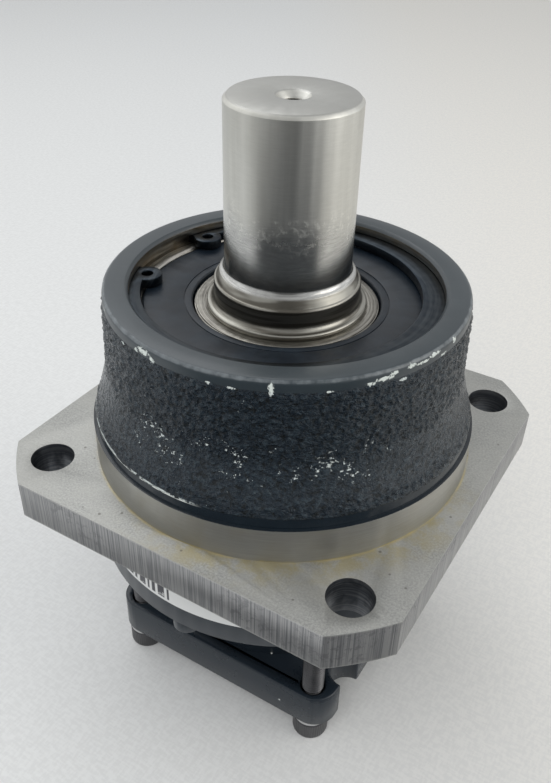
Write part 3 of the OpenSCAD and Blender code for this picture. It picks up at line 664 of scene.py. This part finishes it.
def cast_skin():
    """Rough skin of the casting, a thin closed shell that stands just proud of the CAD surface."""
    low, high = BAND_TOP - 0.1 * MM, RIM_FOOT + 0.3 * MM
    step = 0.42 * MM
    segments = int(2 * math.pi * 60 * MM / step)
    rows_out, count = [], int((high - low) / step)
    for i in range(count + 1):
        t = i / count
        z = low + (high - low) * t
        radius = skin_radius(z)
        fade = min(1.0, (z - low) / (1.5 * MM), (high - z) / (1.2 * MM) + 0.15)
        row = []
        for j in range(segments):
            a = 2 * math.pi * j / segments
            ca, sa = math.cos(a), math.sin(a)
            wrap = Vector((ca * 60 / 1.35, sa * 60 / 1.35, z / MM / 1.15))
            lumps = noise.noise(wrap + 0.8 * noise.noise_vector(wrap * 0.5))
            fine = noise.noise(wrap * 2.3 + Vector((7, 3, 1)))
            broad = noise.noise(wrap * 0.2)
            height = 0.22 + 0.58 * lumps + 0.18 * fine + 0.12 * broad
            ragged = 0.5 * noise.noise(Vector((ca * 25, sa * 25, 0.0)))
            shift = ragged * MM * max(0.0, 1 - (z - low) / (2 * MM))
            r = radius + max(0.02, height * fade) * MM
            row.append((r * ca, r * sa, z + shift))
        rows_out.append(row)
    rows_in = []
    for z in (high, (low + high) / 2, low):
        r = skin_radius(z) - 0.4 * MM
        rows_in.append([(r * math.cos(2 * math.pi * j / segments), r * math.sin(2 * math.pi * j / segments), z)
                        for j in range(segments)])
    obj = grid_mesh("cast_skin", rows_out + rows_in)
    obj.data.materials.append(M["cast_paint"])
    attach(obj, "housing")
    return obj


def hexagon(apothem):
    """Radius of a hexagon at an angle."""
    return lambda a: apothem / math.cos((a + math.pi / 6) % (math.pi / 3) - math.pi / 6)


def knurl(radius, depth, count):
    """Radius of a knurled cylinder at an angle."""
    return lambda a: radius - depth * (0.5 - 0.5 * math.cos(count * a))


def thread_rows(centre, crest, depth, pitch, z0, z1, segments):
    """Rings of a screw thread between two heights."""
    rows = []
    steps = max(2, int((z1 - z0) / pitch * 8))
    for i in range(steps + 1):
        z = z0 + (z1 - z0) * i / steps
        row = []
        for j in range(segments):
            a = 2 * math.pi * j / segments
            phase = (z / pitch - a / (2 * math.pi)) % 1.0
            r = crest - depth * min(1.0, max(0.0, 1.35 * (1 - abs(2 * phase - 1)) - 0.12))
            row.append((centre[0] + r * math.cos(a), centre[1] + r * math.sin(a), z))
        rows.append(row)
    return rows


def join(name, parts):
    """Joins objects into one."""
    bpy.ops.object.select_all(action="DESELECT")
    for part in parts:
        part.select_set(True)
    bpy.context.view_layer.objects.active = parts[0]
    bpy.ops.object.join()
    parts[0].name = name
    return parts[0]


def tie_screws():
    """Four socket-head screws with knurled heads, hexagon sockets and threads."""
    head_r, head_h = 6.5 * MM, 8 * MM
    offset = PLATE_HALF - head_r
    head_top = FLOOR_Z + head_h
    socket = hexagon(3 * MM)
    side = knurl(head_r, 0.16 * MM, 44)
    profile = [
        (0.2 * MM, FLOOR_Z + 4.0 * MM), (socket, FLOOR_Z + 4.1 * MM), (socket, FLOOR_Z + 0.5 * MM),
        (3.7 * MM, FLOOR_Z), (head_r - 0.9 * MM, FLOOR_Z), (head_r - 0.3 * MM, FLOOR_Z + 0.25 * MM),
        (side, FLOOR_Z + 0.9 * MM), (side, head_top - 0.9 * MM), (head_r, head_top - 0.6 * MM),
        (head_r - 0.2 * MM, head_top), (4.0 * MM, head_top), (3.6 * MM, head_top + 0.2 * MM),
    ]
    parts = []
    for sx in (-1, 1):
        for sy in (-1, 1):
            centre = (sx * offset, sy * offset)
            parts.append(grid_mesh("head", lathe_rows(profile, 176, centre), closed=False))
            rows = thread_rows(centre, 4.0 * MM, 0.62 * MM, 1.25 * MM, head_top, TIE_TOP, 28)
            parts.append(grid_mesh("shank", rows, closed=False))
    obj = join("tie_screw_set", parts)
    obj.data.materials.append(M["screw_black"])
    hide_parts("tie_screws")
    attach(obj, "housing")
    return obj


def end_thread():
    """Thread in the centre hole of the shaft end."""
    high, low = SHAFT_TOP - 2.1 * MM, SHAFT_TOP - 20 * MM
    inner = thread_rows((0, 0), 3.38 * MM, 0.0, 1.25 * MM, low, high, 40)
    ridged = []
    for row in inner:
        ridged.append([])
        for x, y, z in row:
            a = math.atan2(y, x)
            phase = (z / (1.25 * MM) - a / (2 * math.pi)) % 1.0
            r = 3.36 * MM - 0.35 * MM * max(0.0, 1 - abs(2 * phase - 1) * 1.6)
            ridged[-1].append((r * math.cos(a), r * math.sin(a), z))
    outer = [[(3.395 * MM * math.cos(math.atan2(y, x)), 3.395 * MM * math.sin(math.atan2(y, x)), z)
              for x, y, z in row] for row in (inner[-1], inner[0])]
    obj = grid_mesh("end_thread", ridged + outer)
    obj.data.materials.append(M["sleeve_steel"])
    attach(obj, "rotating_group")
    return obj


# ---------------------------------------------------------------- stage, light and camera
def stage():
    bpy.ops.mesh.primitive_plane_add(size=14, location=(0, 0, FLOOR_Z))
    floor = bpy.context.object
    floor.name = "floor"
    floor.data.materials.append(floor_cloth())


def dark_reflection_card():
    """Dark card on the floor before the pump, seen only in its reflections: a painted dark reflection that is hidden
    from the camera, from diffuse light and from shadows.
    """
    bpy.ops.mesh.primitive_plane_add(size=14, location=(0, 0, FLOOR_Z + 0.5 * MM))
    card = bpy.context.object
    card.name = "dark_reflection_card"
    g = Graph("dark_reflection_card", roughness=1.0, specular=0.0)
    g.colour(g.mix(g.noise(6, 2, 0.5), (0.05, 0.055, 0.06), (0.08, 0.085, 0.09)))
    sector = g.window(g.angle(), math.radians(-103), math.radians(-22), math.radians(28))
    away = g.step(g.radius(), 85 * MM, 125 * MM)
    g.put(g.bsdf.inputs["Alpha"], g.math("MULTIPLY", sector, away))
    card.data.materials.append(g.mat)
    card.visible_camera = False
    card.visible_diffuse = False
    card.visible_shadow = False


def lobe(tree, direction, centre, half_angle, soft):
    """One inside a cone of directions, and zero outside, with a soft edge."""
    aim = Vector(centre).normalized()
    dot = tree.nodes.new("ShaderNodeVectorMath")
    dot.operation = "DOT_PRODUCT"
    tree.links.new(direction, dot.inputs[0])
    dot.inputs[1].default_value = aim
    ramp = tree.nodes.new("ShaderNodeMapRange")
    ramp.interpolation_type = "SMOOTHSTEP"
    tree.links.new(dot.outputs["Value"], ramp.inputs["Value"])
    ramp.inputs["From Min"].default_value = math.cos(math.radians(half_angle + soft))
    ramp.inputs["From Max"].default_value = math.cos(math.radians(half_angle))
    return ramp.outputs["Result"]


def direction_of(azimuth, elevation):
    """Unit vector towards an azimuth, counted from +X to +Y, and an elevation, in degrees."""
    a, e = math.radians(azimuth), math.radians(elevation)
    return (math.cos(a) * math.cos(e), math.sin(a) * math.cos(e), math.sin(e))


# Soft panels of the light tent: azimuth, elevation, half angle, soft edge, strength
TENT = (
    (-62, 3, 14, 18, 0.16),
    (-60, 52, 8, 20, 0.40),
    (28, 14, 26, 24, 1.10),
    (186, 18, 24, 26, 1.00),
)
TENT_BASE = 0.64


def light_tent():
    """White light tent as the world, darker where the camera looks in."""
    world = bpy.data.worlds.new("light_tent")
    bpy.context.scene.world = world
    world.use_nodes = True
    tree = world.node_tree
    direction = tree.nodes.new("ShaderNodeTexCoord").outputs["Generated"]
    value = TENT_BASE
    for azimuth, elevation, half, soft, strength in TENT:
        mask = lobe(tree, direction, direction_of(azimuth, elevation), half, soft)
        mix = tree.nodes.new("ShaderNodeMix")
        tree.links.new(mask, mix.inputs["Factor"])
        if isinstance(value, float):
            mix.inputs[2].default_value = value
        else:
            tree.links.new(value, mix.inputs[2])
        mix.inputs[3].default_value = strength
        value = mix.outputs[0]
    background = tree.nodes["Background"]
    background.inputs["Color"].default_value = (0.985, 0.995, 1.0, 1.0)
    tree.links.new(value, background.inputs["Strength"])


def panel(name, azimuth, elevation, distance, size, power, colour, mirrored=True):
    """Square soft light aimed at the object, with or without its own reflection."""
    data = bpy.data.lights.new(name, "AREA")
    data.shape = "SQUARE"
    data.size = size
    data.energy = power
    data.color = colour
    light = bpy.data.objects.new(name, data)
    light.visible_glossy = mirrored
    light.location = Vector(direction_of(azimuth, elevation)) * distance
    aim = Vector((0, 0, 0.02)) - light.location
    light.rotation_euler = aim.to_track_quat("-Z", "Y").to_euler()
    bpy.context.scene.collection.objects.link(light)


def camera():
    """Camera at the photograph's viewing angle, about 30 degrees to the right and 35 above."""
    data = bpy.data.cameras.new("camera")
    data.lens = 38.5
    data.sensor_width = 36
    data.clip_start = 0.01
    eye = Vector((0.1180, -0.2057, 0.1836))
    forward = Vector((-0.4143, 0.7030, -0.5780)).normalized()
    up = Vector((-0.3176, 0.4835, 0.8157))
    right = forward.cross(up).normalized()
    up = right.cross(forward)
    obj = bpy.data.objects.new("camera", data)
    rotation = Matrix((right, up, -forward)).transposed()
    obj.matrix_world = Matrix.Translation(eye) @ rotation.to_4x4()
    bpy.context.scene.collection.objects.link(obj)
    bpy.context.scene.camera = obj


camera()
stage()
dark_reflection_card()
light_tent()
panel("key", 150, 58, 1.2, 0.9, 3.2, (0.98, 0.99, 1.0))
panel("fill", 15, 32, 1.3, 0.8, 2.4, (1.0, 0.95, 0.86))
panel("front", -80, 46, 1.3, 0.9, 6.6, (1.0, 1.0, 1.0), mirrored=False)

for node, look in NODE_LOOK.items():
    dress(node, look)
dress_housing()
soften("front_housing", 0.25 * MM)
soften("rear_case", 0.35 * MM)
soften("port_block", 0.6 * MM)
soften("port_plate", 0.6 * MM)
soften("drive_shaft", 0.15 * MM)
soften("wear_sleeve", 0.12 * MM)
soften("seal_carrier", 0.15 * MM)
soften("shaft_seal", 0.15 * MM)
soften("retaining_ring", 0.2 * MM)
soften("drain_plug", 0.25 * MM)
soften("case_screws", 0.2 * MM)
soften("tie_washers", 0.15 * MM)

cast_skin()
tie_screws()
end_thread()

view = bpy.context.scene.view_settings
view.view_transform = "Standard"
view.look = "None"
